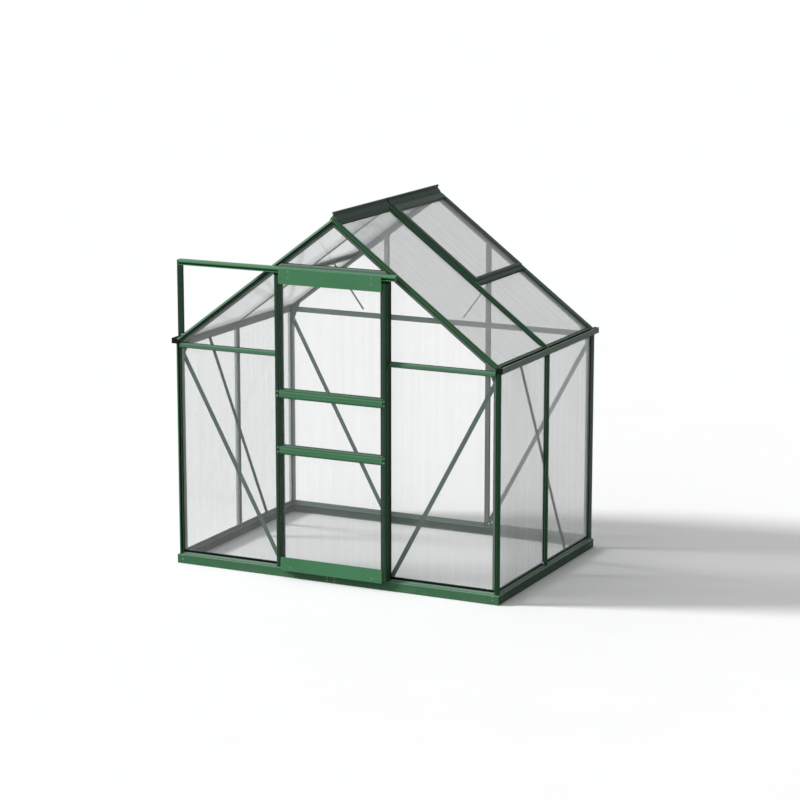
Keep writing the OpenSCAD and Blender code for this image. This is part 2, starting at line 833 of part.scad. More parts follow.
module stile_section() {
    r = 6;
    translate([-door_half, 0]) {
        difference() {
            union() {
                translate([r, r]) circle(r, $fn = 32);
                translate([stile_nose - r, r]) circle(r, $fn = 32);
                translate([r, 0]) square([stile_nose - 2 * r, door_depth]);
                translate([0, r]) square([stile_nose, door_depth - r]);
            }
            translate([wall, wall + r / 2]) square([stile_nose - 2 * wall, door_depth - 2 * wall - r / 2]);
        }
        translate([stile_nose, door_seat_depth]) square([flange, wall]);
    }
}

module door_stiles() {
    color(paint) on_door() both_sides()
        translate([0, 0, door_foot_z]) linear_extrude(door_head_z - door_foot_z) stile_section();
}

rail_bottoms = concat([door_foot_z], [for (z = rail_zs) z - rail_h / 2], [door_head_z - rail_h]);
rail_half = door_half - stile_nose - slack;
lip_half = rail_half - flange;

// Hollow cross rail with a lip behind the sheet above and the sheet below it
module door_rail_section() {
    difference() {
        square([door_seat_depth, rail_h]);
        translate([wall, wall]) square([door_seat_depth - 2 * wall, rail_h - 2 * wall]);
    }
}

module door_rails() {
    lip = 8;
    color(paint) on_door() for (z = rail_bottoms) translate([0, 0, z]) {
        along_x(-rail_half, rail_half) door_rail_section();
        box([-lip_half, door_seat_depth, z == door_foot_z ? 0 : -lip],
            [lip_half, door_seat_depth + wall, z == door_head_z - rail_h ? rail_h : rail_h + lip]);
    }
}

module door_plate(z0, z1) {
    translate([0, -plate_t, 0]) along_y(0, plate_t)
        translate([-plate_w / 2, z0]) square([plate_w, z1 - z0]);
}

module door_head_plate() { color(paint) on_door() door_plate(head_plate_z[0], head_plate_z[1]); }
module door_foot_plate() { color(paint) on_door() door_plate(foot_plate_z[0], foot_plate_z[1]); }

module door_sheets() {
    half = rail_half - sheet_gap;
    color(sheet_colour) on_door() for (i = [0:len(rail_bottoms) - 2])
        box([-half, door_sheet_depth, rail_bottoms[i] + rail_h + sheet_gap],
            [half, door_seat_depth, rail_bottoms[i + 1] - sheet_gap]);
}

module door_rollers() {
    y = frame_inset + door_clear + door_depth - track_depth / 2;
    color(nylon) on_door() both_sides() translate([roller_pitch / 2, 0, roller_z]) rotate([-90, 0, 0]) {
        cylinder(h = y + roller_w / 2 + 1, r = pin_r, $fn = 24);
        translate([0, 0, y - roller_w / 2]) cylinder(h = roller_w, r = roller_r, $fn = 48);
    }
}

// ---------- what is drawn ----------

base_front();
base_back();
base_left();
base_right();
sill_front();
sill_back();
sill_sides();
post_front_left();
post_front_right();
post_back_left();
post_back_right();
door_posts();
mullions_back();
mullions_side();
gutter_left();
gutter_right();
ridge();
rafter_front_left();
rafter_front_right();
rafter_back_left();
rafter_back_right();
roof_bars();
roof_cross_bars();
tie_front();
tie_back();
door_header();
door_track();
track_support();
gussets();
braces();
sheets_front();
sheets_back();
sheets_left();
sheets_right();
roof_sheets_left();
roof_sheets_right();
vent_frames();
vent_sheets();
vent_stays();
door_stiles();
door_rails();
door_head_plate();
door_foot_plate();
door_sheets();
door_rollers();
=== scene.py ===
import math

import bpy
import numpy as np
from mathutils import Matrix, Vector


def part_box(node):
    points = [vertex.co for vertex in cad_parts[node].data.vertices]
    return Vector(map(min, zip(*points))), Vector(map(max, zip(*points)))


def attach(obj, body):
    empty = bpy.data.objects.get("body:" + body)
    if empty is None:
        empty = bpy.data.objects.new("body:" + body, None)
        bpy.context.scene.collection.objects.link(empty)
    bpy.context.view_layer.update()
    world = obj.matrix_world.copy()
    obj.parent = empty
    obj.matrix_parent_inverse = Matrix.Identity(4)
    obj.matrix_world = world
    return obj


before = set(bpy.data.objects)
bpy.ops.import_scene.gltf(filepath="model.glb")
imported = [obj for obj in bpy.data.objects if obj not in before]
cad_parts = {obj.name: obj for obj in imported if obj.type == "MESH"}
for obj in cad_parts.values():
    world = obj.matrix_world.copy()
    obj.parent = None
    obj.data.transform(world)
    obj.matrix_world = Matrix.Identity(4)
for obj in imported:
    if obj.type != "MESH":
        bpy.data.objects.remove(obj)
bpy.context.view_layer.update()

HOUSE, DOOR = "house", "door"
PITCH = math.radians(36.8)          # both slopes of the roof
TAU = 2 * math.pi
DICE = np.random.default_rng(7)     # small turns of the screws
MM = 0.001


# ---------------------------------------------------------------- places on the frame

def corner(node, which):
    """Lowest (0) or highest (1) corner of a part's box, in millimetres."""
    return np.array(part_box(node)[which], float) / MM


FRONT = corner("post_front_left", 0)[1]         # outer faces of the two gables and the two walls
BACK = corner("post_back_left", 1)[1]
WALL = corner("post_front_right", 1)[0]
MIDDLE = (FRONT + BACK) / 2
EAVE = 1231.0                                   # height of the rafters' outer faces over the walls' faces
APEX = WALL * math.tan(PITCH) + EAVE            # where the rafters' outer faces meet
SHEET = 18.0                                    # depth of the sheets' outer face below the frame's
DEEP = 19.5                                     # what lies deeper than this is behind the sheets
NOSE, HALF = 24.0, 13.0                         # a corner section's nose, and half a glazing bar
TIE = (corner("tie_front", 0)[2] + corner("tie_front", 1)[2]) / 2
MULLION = corner("door_posts", 1)[0] - HALF
HEADER = (corner("door_header", 0)[2] + corner("door_header", 1)[2]) / 2
FOOT = 62.0                                     # foot of the wall sheets
SILL_LIP = 11                                   # how far the sills' lips rise over the sheets' feet
ROOM = 2                                        # room between a bar's seals and the rafter's edge
LAP_START = 14                                  # from the eave lap's upper edge to the strip on it
RIDGE_EDGE = 42.0                               # the ridge cover's lower edge, down the slope from the apex
CROSS = 653.0                                   # the cross bar below a vent, down the slope
EAVE_EDGE = (WALL - 36) / math.cos(PITCH) + 17 * math.tan(PITCH)    # upper edge of the lap at the eave
DOOR_DEEP = corner("door_stiles", 0)[1] + 20.5  # what lies further back in the door is behind its sheets
RAIL_FEET = (679, 980)                          # feet of the door's two middle rails
LIP = 1236.6                                    # just under the top of the gutters' lips

# A plane of sheets: a point on it, its first and second direction, and the way out
X, Y, Z = np.eye(3)
DOWN_R = np.array([math.cos(PITCH), 0, -math.sin(PITCH)])
OUT_R = np.array([math.sin(PITCH), 0, math.cos(PITCH)])
FLIP = np.array([-1, 1, 1])
PLANES = {
    "front": (np.array([0, FRONT + SHEET, 0]), X, Z, -Y),
    "back": (np.array([0, BACK - SHEET, 0]), X, Z, Y),
    "left": (np.array([SHEET - WALL, MIDDLE, 0]), Y, Z, -X),
    "right": (np.array([WALL - SHEET, MIDDLE, 0]), Y, Z, X),
    "slope_right": (np.array([0, MIDDLE, APEX]) - SHEET * OUT_R, Y, DOWN_R, OUT_R),
    "slope_left": (np.array([0, MIDDLE, APEX]) - SHEET * OUT_R * FLIP, Y, DOWN_R * FLIP, OUT_R * FLIP),
}


# ---------------------------------------------------------------- nodes of a material

def add(tree, kind, settings=None, **inputs):
    """One shader node. Its settings are attributes; its inputs are values, or sockets to link."""
    node = tree.nodes.new("ShaderNode" + kind)
    for key, value in (settings or {}).items():
        setattr(node, key, value)
    for key, value in inputs.items():
        name = key.replace("_", " ")
        socket = node.inputs[int(key[1:])] if key[0] == "i" and key[1:].isdigit() else node.inputs[name]
        if isinstance(value, bpy.types.NodeSocket):
            tree.links.new(value, socket)
        else:
            socket.default_value = value
    return node


def maths(tree, operation, *values):
    """A sum, product or other plain arithmetic of values and sockets."""
    numbered = {f"i{i}": v for i, v in enumerate(values)}
    return add(tree, "Math", {"operation": operation}, **numbered).outputs[0]


def stretch(tree, source, low, high, to_low=0.0, to_high=1.0):
    """Takes low..high of a source to to_low..to_high, clamped."""
    return add(tree, "MapRange", None, Value=source, From_Min=low, From_Max=high,
               To_Min=to_low, To_Max=to_high).outputs["Result"]


def here(tree):
    """The x, y and z of the point, in metres."""
    return add(tree, "SeparateXYZ", None, i0=add(tree, "TexCoord").outputs["Object"]).outputs


def outlook(tree):
    """The x, y and z of the direction in which the surface looks."""
    return add(tree, "SeparateXYZ", None, i0=add(tree, "NewGeometry").outputs["Normal"]).outputs


def shade(colour, times):
    """The same colour, lighter or darker."""
    return [c * times for c in colour]


def noise(tree, at, scale, detail=3.0, rough=0.5):
    """Soft noise between 0 and 1."""
    return add(tree, "TexNoise", None, Vector=at, Scale=scale, Detail=detail, Roughness=rough).outputs["Fac"]


def placed(tree, scale=(1, 1, 1), turn=(0, 0, 0)):
    """Object coordinates, turned and then scaled."""
    at = add(tree, "TexCoord").outputs["Object"]
    turned = add(tree, "Mapping", None, Vector=at, Rotation=turn).outputs[0]
    return add(tree, "Mapping", None, Vector=turned, Scale=scale).outputs[0]


def blend(tree, how_much, first, second):
    """Colour between two colours, each a value or a socket."""
    pair = [c if isinstance(c, bpy.types.NodeSocket) else (*c, 1) for c in (first, second)]
    return add(tree, "Mix", {"data_type": "RGBA"}, i0=how_much, i6=pair[0], i7=pair[1]).outputs[2]


def blank(name):
    """A new material with its tree and its Principled shader."""
    material = bpy.data.materials.new(name)
    material.use_nodes = True
    return material, material.node_tree, material.node_tree.nodes["Principled BSDF"]


# ---------------------------------------------------------------- finishes

HIDDEN_GREY = (0.15, 0.21, 0.17)
# the pale grey-green of the painted highlight on faces that look up
TOP_HIGHLIGHT_TONE = (0.125, 0.170, 0.135)
SOIL = (0.20, 0.19, 0.17)


def inner_side(tree):
    """1 on faces that look into the house, 0 on faces that look out."""
    out = add(tree, "NewGeometry").outputs["Normal"]
    point = add(tree, "TexCoord").outputs["Object"]
    at = add(tree, "Mapping", None, Vector=point, Location=(0, -MIDDLE * MM, -0.9)).outputs[0]
    facing = add(tree, "VectorMath", {"operation": "DOT_PRODUCT"}, i0=out, i1=at).outputs["Value"]
    return stretch(tree, facing, 0.08, -0.08)


def behind_sheets(tree, front=FRONT + DEEP):
    """1 on what lies behind the planes of the wall and roof sheets, 0 in front of them."""
    at = here(tree)
    past_front = maths(tree, "GREATER_THAN", at["Y"], front * MM)
    before_back = maths(tree, "LESS_THAN", at["Y"], (BACK - DEEP) * MM)
    within_walls = maths(tree, "LESS_THAN", maths(tree, "ABSOLUTE", at["X"]), (WALL - DEEP) * MM)
    fallen = maths(tree, "ADD", maths(tree, "MULTIPLY", at["Z"], math.cos(PITCH)),
                   maths(tree, "MULTIPLY", maths(tree, "ABSOLUTE", at["X"]), math.sin(PITCH)))
    below_roof = maths(tree, "LESS_THAN", fallen, (APEX * math.cos(PITCH) - DEEP) * MM)
    walls = maths(tree, "MULTIPLY", maths(tree, "MULTIPLY", past_front, before_back), within_walls)
    return maths(tree, "MULTIPLY", walls, below_roof)


def top_side(tree):
    """1 on faces that look up, 0 on upright ones."""
    out = outlook(tree)["Z"]
    return stretch(tree, out, 0.75, 0.95)


def powder_coat(name, colour, grain=(1, 1, 1), turn=(0, 0, 0), rough=0.42, soil=0.0, hidden_grey=HIDDEN_GREY,
                shine=0.10, front=FRONT + DEEP, top_highlight=0.0, marks=(), flange_light=None):
    """Satin powder coat on an extrusion: fine orange peel, faint die lines along the section, a slow
    drift in tone, a greyer colour on faces that look into the house and on what lies behind the sheets,
    and where asked painted light on the front flanges behind the sheets, a painted highlight on faces
    that look up, or soil low down. A mark is a mask to be worked out in the tree, and its colour."""
    material, tree, shader = blank(name)
    drift = noise(tree, placed(tree), 3.1, 4.0)
    lines = noise(tree, placed(tree, grain, turn), 1.0, 2.0)
    peel = noise(tree, placed(tree), 620.0, 2.0)
    lift = maths(tree, "ADD", stretch(tree, drift, 0.3, 0.7, -0.06, 0.06),
                 stretch(tree, lines, 0.3, 0.7, -0.05, 0.05))
    coat = blend(tree, 0.0, colour, colour)
    # Faces that look into the house and what lies behind the sheets take a greyer colour
    if hidden_grey:
        hidden = maths(tree, "MAXIMUM", inner_side(tree), behind_sheets(tree, front))
        coat = blend(tree, maths(tree, "MULTIPLY", hidden, 0.85), colour, hidden_grey)
    # Painted light: front-facing flanges behind the sheets take a lighter colour; on the left half, where
    # the noses' shadow falls, it is twice as light as on the right
    if flange_light:
        forward = outlook(tree)["Y"]
        left = stretch(tree, here(tree)["X"], 0.05, -0.05)
        seen = maths(tree, "MULTIPLY", behind_sheets(tree, front), maths(tree, "LESS_THAN", forward, -0.7))
        coat = blend(tree, seen, coat, blend(tree, left, shade(flange_light, 0.5), flange_light))
    # Painted highlight: faces that look up are mixed towards a paler grey-green, as light from above shows
    # them
    if top_highlight:
        coat = blend(tree, maths(tree, "MULTIPLY", top_side(tree), top_highlight), coat, TOP_HIGHLIGHT_TONE)
    for mask, paint in marks:
        coat = blend(tree, mask(tree), coat, paint)
    tone = add(tree, "HueSaturation", None, Color=coat, Value=maths(tree, "ADD", lift, 1.0)).outputs[0]
    if soil:
        up = here(tree)["Z"]
        low = stretch(tree, up, 0.045, 0.0, 0.0, soil)
        patch = maths(tree, "MULTIPLY", low, stretch(tree, noise(tree, placed(tree), 24.0, 5.0), 0.4, 0.65))
        tone = blend(tree, patch, tone, SOIL)
    tree.links.new(tone, shader.inputs["Base Color"])
    sheen = maths(tree, "ADD", stretch(tree, peel, 0.3, 0.7, rough - 0.03, rough + 0.03),
                  stretch(tree, drift, 0.3, 0.7, -0.03, 0.03))
    tree.links.new(sheen, shader.inputs["Roughness"])
    shader.inputs["Specular IOR Level"].default_value = shine
    height = maths(tree, "ADD", maths(tree, "MULTIPLY", peel, 0.6), maths(tree, "MULTIPLY", lines, 0.4))
    bump = add(tree, "Bump", None, Strength=0.25, Distance=0.00025, Height=height)
    tree.links.new(bump.outputs[0], shader.inputs["Normal"])
    return material


def spread_over(tree, axis, points):
    """A value that follows straight lines between (place, value) points along one axis, in millimetres."""
    along = here(tree)[axis]
    total = None
    for (p, a), (q, b) in zip(points, points[1:]):
        step = stretch(tree, along, p * MM, q * MM, 0.0, b - a)
        total = step if total is None else maths(tree, "ADD", total, step)
    return maths(tree, "ADD", total, points[0][1])


def along_rails(tree, outline):
    """The same outline of (height over the foot, value) points on both of the door's middle rails."""
    low, high = (spread_over(tree, "Z", [(foot + h, v) for h, v in outline]) for foot in RAIL_FEET)
    return maths(tree, "ADD", low, high)


def rail_groove_shade(tree):
    """Painted shade in lines along a middle rail, standing for its grooves: at its foot, in its middle and
    below its top lip.
    """
    return along_rails(tree, [(-1, 0), (0, 0.55), (4, 0.55), (6, 0), (17, 0), (20, 0.3), (23, 0.3), (25, 0),
                              (33, 0), (34.5, 0.5), (37, 0.5), (38.5, 0)])


def rail_rise_highlight(tree):
    """Painted highlight on the band between the two upper lines of a middle rail, standing for a raised band.
    """
    return along_rails(tree, [(22, 0), (25, 0.8), (31, 0.8), (34, 0)])


def trough_inside(tree):
    """1 inside the gutters' troughs, where their black is painted shade, and on their end caps, which are
    black plastic.
    """
    at = here(tree)
    out = outlook(tree)
    ends = maths(tree, "GREATER_THAN", maths(tree, "ABSOLUTE", out["Y"]), 0.6)
    side = maths(tree, "MULTIPLY", out["X"], maths(tree, "SIGN", at["X"]))
    low = maths(tree, "LESS_THAN", at["Z"], LIP * MM)
    beyond = trough_face(tree)
    inward = maths(tree, "LESS_THAN", side, -0.3)
    floor = maths(tree, "GREATER_THAN", out["Z"], 0.6)
    in_trough = maths(tree, "MULTIPLY", low, beyond)
    inside = maths(tree, "MULTIPLY", in_trough, maths(tree, "MAXIMUM", inward, floor))
    return maths(tree, "MAXIMUM", ends, inside)


def trough_face(tree):
    """1 on the gutters' outer faces and lips, which are painted paler as painted light, 0 on the laps over
    the sheets.
    """
    return maths(tree, "GREATER_THAN", maths(tree, "ABSOLUTE", here(tree)["X"]), (WALL + 0.5) * MM)


def ridge_joint_shade(tree):
    """Painted shade in the gap at the joint between the two lengths of the ridge's cover."""
    along = here(tree)["Y"]
    from_joint = maths(tree, "ABSOLUTE", maths(tree, "SUBTRACT", along, MIDDLE * MM))
    return stretch(tree, from_joint, 0.0065, 0.0055)


def base_edge_highlight(tree):
    """Painted highlight along the outer edge where the base rail's face meets its top."""
    return spread_over(tree, "Z", [(44.5, 0), (48.5, 0.55), (51, 0.55)])


FLUTE = 0.0058                      # from one rib of a twin-wall sheet to the next
CLEAR_COVER = 0.018                 # cover of a sheet's skin seen square on
SLANT_COVER = 0.64                  # and how much a sheet seen aslant adds
SHADOW_COVER = 0.24                 # share of the light that a sheet holds back


def twin_wall(name, axis):
    """Clear twin-wall sheet: fine flutes counted along one axis, uneven streaks along them, a pale
    body that thickens when seen aslant, and a clear mirror sheen on top."""
    material, tree, shader = blank(name)
    across = add(tree, "SeparateXYZ", None, i0=placed(tree)).outputs[axis]
    part_way = maths(tree, "FRACT", maths(tree, "DIVIDE", across, FLUTE))
    rib = stretch(tree, maths(tree, "ABSOLUTE", maths(tree, "SUBTRACT", part_way, 0.5)), 0.40, 0.47)
    narrow = [0.8, 0.8, 0.8]
    narrow["XYZ".index(axis)] = 34.0
    streak = stretch(tree, noise(tree, placed(tree, narrow), 1.0, 4.0, 0.6), 0.35, 0.7)
    aslant = add(tree, "LayerWeight", None, Blend=0.5).outputs["Facing"]
    body = maths(tree, "ADD", maths(tree, "MULTIPLY", rib, 0.035), maths(tree, "MULTIPLY", streak, 0.020))
    veil = maths(tree, "MULTIPLY", maths(tree, "POWER", aslant, 1.6), SLANT_COVER)
    seen = maths(tree, "ADD", maths(tree, "ADD", body, veil), CLEAR_COVER)
    shaded = add(tree, "LightPath").outputs["Is Shadow Ray"]
    solid = maths(tree, "MAXIMUM", seen, maths(tree, "MULTIPLY", shaded, SHADOW_COVER))
    tone = blend(tree, streak, (0.79, 0.80, 0.81), (0.87, 0.88, 0.89))
    tree.links.new(tone, shader.inputs["Base Color"])
    shader.inputs["Roughness"].default_value = 0.4
    shader.inputs["Specular IOR Level"].default_value = 0.0
    gloss = add(tree, "BsdfGlossy", None, Color=(0.9, 0.92, 0.92, 1), Roughness=0.01)
    schlick = maths(tree, "ADD", maths(tree, "MULTIPLY", maths(tree, "POWER", aslant, 5.0), 0.36), 0.010)
    glow = add(tree, "BsdfTranslucent", None, Color=(0.90, 0.91, 0.92, 1))
    milk = add(tree, "MixShader", None, i0=0.3, i1=shader.outputs[0], i2=glow.outputs[0])
    clear = add(tree, "BsdfTransparent")
    wall = add(tree, "MixShader", None, i0=solid, i1=clear.outputs[0], i2=milk.outputs[0])
    mixed = add(tree, "MixShader", None, i0=schlick, i1=wall.outputs[0], i2=gloss.outputs[0])
    tree.links.new(mixed.outputs[0], tree.nodes["Material Output"].inputs["Surface"])
    return material


def galvanised(name, colour, rough=0.45):
    """Dull zinc or bare steel: soft spangle in tone and gloss, fine scratches."""
    material, tree, shader = blank(name)
    spangle = add(tree, "TexVoronoi", None, Vector=placed(tree), Scale=140.0).outputs["Color"]
    patch = noise(tree, placed(tree), 40.0, 5.0)
    grey = blend(tree, stretch(tree, patch, 0.35, 0.65), shade(colour, 0.85), shade(colour, 1.12))
    times = {"data_type": "RGBA", "blend_type": "MULTIPLY"}
    tone = add(tree, "Mix", times, i0=0.12, i6=grey, i7=spangle).outputs[2]
    tree.links.new(tone, shader.inputs["Base Color"])
    tree.links.new(stretch(tree, patch, 0.3, 0.7, rough - 0.08, rough + 0.08), shader.inputs["Roughness"])
    shader.inputs["Metallic"].default_value = 0.75
    scratch = noise(tree, placed(tree, (900, 900, 60)), 1.0, 2.0)
    bump = add(tree, "Bump", None, Strength=0.2, Distance=0.0002, Height=scratch)
    tree.links.new(bump.outputs[0], shader.inputs["Normal"])
    return material


def moulded(name, colour, rough=0.5, shine=0.5):
    """Moulded plastic or rubber: slow drift in tone over a fine grain."""
    material, tree, shader = blank(name)
    drift = noise(tree, placed(tree), 60.0, 4.0)
    lift = stretch(tree, drift, 0.3, 0.7, 0.85, 1.15)
    tone = add(tree, "HueSaturation", None, Color=(*colour, 1), Value=lift).outputs[0]
    tree.links.new(tone, shader.inputs["Base Color"])
    shader.inputs["Roughness"].default_value = rough
    shader.inputs["Specular IOR Level"].default_value = shine
    grain = noise(tree, placed(tree), 1500.0, 2.0)
    bump = add(tree, "Bump", None, Strength=0.3, Distance=0.0001, Height=grain)
    tree.links.new(bump.outputs[0], shader.inputs["Normal"])
    return material


# Paints
LEAF = (0.072, 0.225, 0.108)
MOSS = (0.086, 0.198, 0.120)
# Shaded copies of one green paint, as painted shade on uprights, roof bars, door posts and stiles
SHADED_GREEN = (0.026, 0.105, 0.046)
DEEPER_SHADED_GREEN = (0.019, 0.058, 0.030)
BASE_INSIDE = (0.15, 0.225, 0.18)
SLATE = (0.100, 0.145, 0.115)
PALE_SLATE = (0.240, 0.300, 0.255)
SLATE_INSIDE = (0.12, 0.14, 0.13)
BLACK = (0.006, 0.010, 0.007)

# Directions of the die lines: along z, along x, along y, and none
UP, ACROSS, BACKWARD, EVEN = (700, 700, 3), (3, 700, 700), (700, 3, 700), (260, 260, 260)

# Painted shade: uprights, posts, stiles, track support and roof bars take the shaded copies of the green
green_upright = powder_coat("green_paint_upright", SHADED_GREEN, UP, flange_light=(0.42, 0.48, 0.43))
green_stile = powder_coat("green_paint_stile", DEEPER_SHADED_GREEN, UP, front=DOOR_DEEP, flange_light=(0.34, 0.40, 0.35))
green_post = powder_coat("green_paint_post", DEEPER_SHADED_GREEN, UP, flange_light=(0.34, 0.40, 0.35))
green_support = powder_coat("green_paint_support", shade(DEEPER_SHADED_GREEN, 0.8), UP, hidden_grey=None)
green_across = powder_coat("green_paint_across", MOSS, ACROSS, top_highlight=0.4)
green_track = powder_coat("green_paint_track", LEAF, ACROSS, top_highlight=0.9)
# Painted highlight and painted shade on the rails: a lighter band and darker lines for their pressed shape
green_rail = powder_coat("green_paint_rail", shade(LEAF, 0.95), ACROSS, front=DOOR_DEEP, top_highlight=0.5,
                         marks=[(rail_rise_highlight, (0.115, 0.245, 0.145)), (rail_groove_shade, (0.030, 0.085, 0.045))])
# The side sills take a lighter, greyer copy of the sills' green, as painted light on their sloped faces
green_sill = powder_coat("green_paint_sill", shade(MOSS, 0.80), ACROSS)
green_sill_deep = powder_coat("green_paint_sill_deep", (0.125, 0.225, 0.155), BACKWARD)
# Lit and shaded copies of one green: the right rafters, turned away from the key light, are painted
# darker as painted shade, and the left rafters lighter as painted light
green_fall_right = powder_coat("green_paint_fall_right", shade(LEAF, 0.56), ACROSS, (0, -PITCH, 0),
                               flange_light=(0.36, 0.42, 0.37))
green_fall_left = powder_coat("green_paint_fall_left", shade(MOSS, 0.78), ACROSS, (0, PITCH, 0),
                              flange_light=(0.36, 0.42, 0.37))
green_plate = powder_coat("green_paint_plate", LEAF, EVEN, rough=0.46, hidden_grey=None)
green_gusset = powder_coat("green_paint_gusset", (0.15, 0.22, 0.17), EVEN, rough=0.46)
green_bars = powder_coat("green_paint_bars", SHADED_GREEN, EVEN)
green_header = powder_coat("green_paint_header", (0.115, 0.180, 0.140), ACROSS)
# The base's side rails take a darker, greyer copy of its green, as painted shade; both carry a
# painted highlight along the top edge, stronger on the sides
base_across = powder_coat("base_paint_across", shade(LEAF, 0.74), (3, 500, 500), soil=0.3, hidden_grey=BASE_INSIDE,
                          marks=[(base_edge_highlight, (0.16, 0.30, 0.20))])
base_deep = powder_coat("base_paint_deep", (0.046, 0.110, 0.066), (500, 3, 500), soil=0.3, hidden_grey=BASE_INSIDE,
                        marks=[(base_edge_highlight, (0.34, 0.44, 0.37))])
slate_deep = powder_coat("slate_paint_deep", SLATE, BACKWARD, rough=0.45, hidden_grey=SLATE_INSIDE, shine=0.04)
slate_ridge = powder_coat("slate_paint_ridge", SLATE, BACKWARD, rough=0.45, hidden_grey=SLATE_INSIDE, shine=0.04,
                          marks=[(ridge_joint_shade, BLACK)])
# The gutters: a lighter copy of the ridge's slate, and paler outer faces and lips, as painted light;
# black inside the troughs as painted shade, and black end caps
slate_gutter = powder_coat("slate_paint_gutter", shade(SLATE, 1.6), BACKWARD, rough=0.45, shine=0.04,
                           hidden_grey=(0.34, 0.38, 0.35), marks=[(trough_face, PALE_SLATE), (trough_inside, BLACK)])
strap_paint = powder_coat("strap_paint", (0.080, 0.170, 0.110), (40, 40, 40), rough=0.45,
                          hidden_grey=(0.085, 0.155, 0.115))
sheet_gable = twin_wall("sheet_gable", "X")
sheet_side = twin_wall("sheet_side", "Y")
bright_zinc = galvanised("bright_zinc", (0.42, 0.45, 0.43), 0.42)
dull_zinc = galvanised("dull_zinc", (0.20, 0.21, 0.21), 0.5)
nylon = moulded("dark_nylon", (0.030, 0.036, 0.032), 0.5, 0.25)
rubber = moulded("black_rubber", (0.005, 0.013, 0.007), 0.7, 0.0)

FINISH = {
    green_upright: ["post_front_left", "post_front_right", "post_back_left", "post_back_right",
                    "mullions_side"],
    green_post: ["door_posts", "mullions_back"],
    green_stile: ["door_stiles"],
    green_support: ["track_support"],
    green_across: ["tie_front", "tie_back"],
    green_track: ["door_track"],
    green_rail: ["door_rails"],
    green_header: ["door_header"],
    green_sill: ["sill_front", "sill_back"],
    green_sill_deep: ["sill_sides"],
    green_fall_right: ["rafter_front_right", "rafter_back_right"],
    green_fall_left: ["rafter_front_left", "rafter_back_left"],
    green_plate: ["door_head_plate", "door_foot_plate"],
    green_gusset: ["gussets"],
    green_bars: ["roof_bars"],
    base_across: ["base_front", "base_back"],
    base_deep: ["base_left", "base_right"],
    slate_deep: ["roof_cross_bars", "vent_frames"],
    slate_ridge: ["ridge"],
    slate_gutter: ["gutter_left", "gutter_right"],
    strap_paint: ["braces"],
    dull_zinc: ["vent_stays"],
    sheet_gable: ["sheets_front", "sheets_back", "door_sheets"],
    sheet_side: ["sheets_left", "sheets_right", "roof_sheets_left", "roof_sheets_right", "vent_sheets"],
    nylon: ["door_rollers"],
}
for material, nodes in FINISH.items():
    for name in nodes:
        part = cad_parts[name].data
        part.materials.clear()
        part.materials.append(material)


# ---------------------------------------------------------------- making of new pieces

AROUND = 24                         # points round a head


def outward(points, faces):
    """The faces turned so that the shell's signed volume, the sum of a.(b x c) / 6 over its
    triangles, is positive, which means that they all look out."""
    fan = [(f[0], f[i], f[i + 1]) for f in faces for i in range(1, len(f) - 1)]
    a, b, c = (points[np.array(fan)[:, k]] for k in range(3))
    return faces if np.einsum("ij,ij->", a, np.cross(b, c)) > 0 else [f[::-1] for f in faces]


def between(first, last):
    """The closed shell between two copies of an outline: its walls from copy to copy, and its two ends."""
    points = np.vstack([first, last])
    k = len(first)
    i = np.arange(k)
    walls = np.stack([i, (i + 1) % k, k + (i + 1) % k, k + i], 1).tolist()
    faces = walls + [i[::-1].tolist(), (k + i).tolist()]
    return points, outward(points - points.mean(0), faces)


def strip(plane, start, end, outline, side=1):
    """A seal lying on a plane of sheets. Its outline (across, height) is carried in a straight line
    from start to end: S(i, t) = start + t (end - start) + across_i side + height_i out, t = 0..1."""
    origin, u, v, out = PLANES[plane]
    start, end, outline = np.array(start, float), np.array(end, float), np.array(outline, float)
    run = (end - start) / np.linalg.norm(end - start)
    beside = side * np.array([-run[1], run[0]])
    flat = np.array([start, end])[:, None, :] + outline[None, :, :1] * beside
    return between(*(origin + flat[..., :1] * u + flat[..., 1:] * v + outline[None, :, 1:] * out))


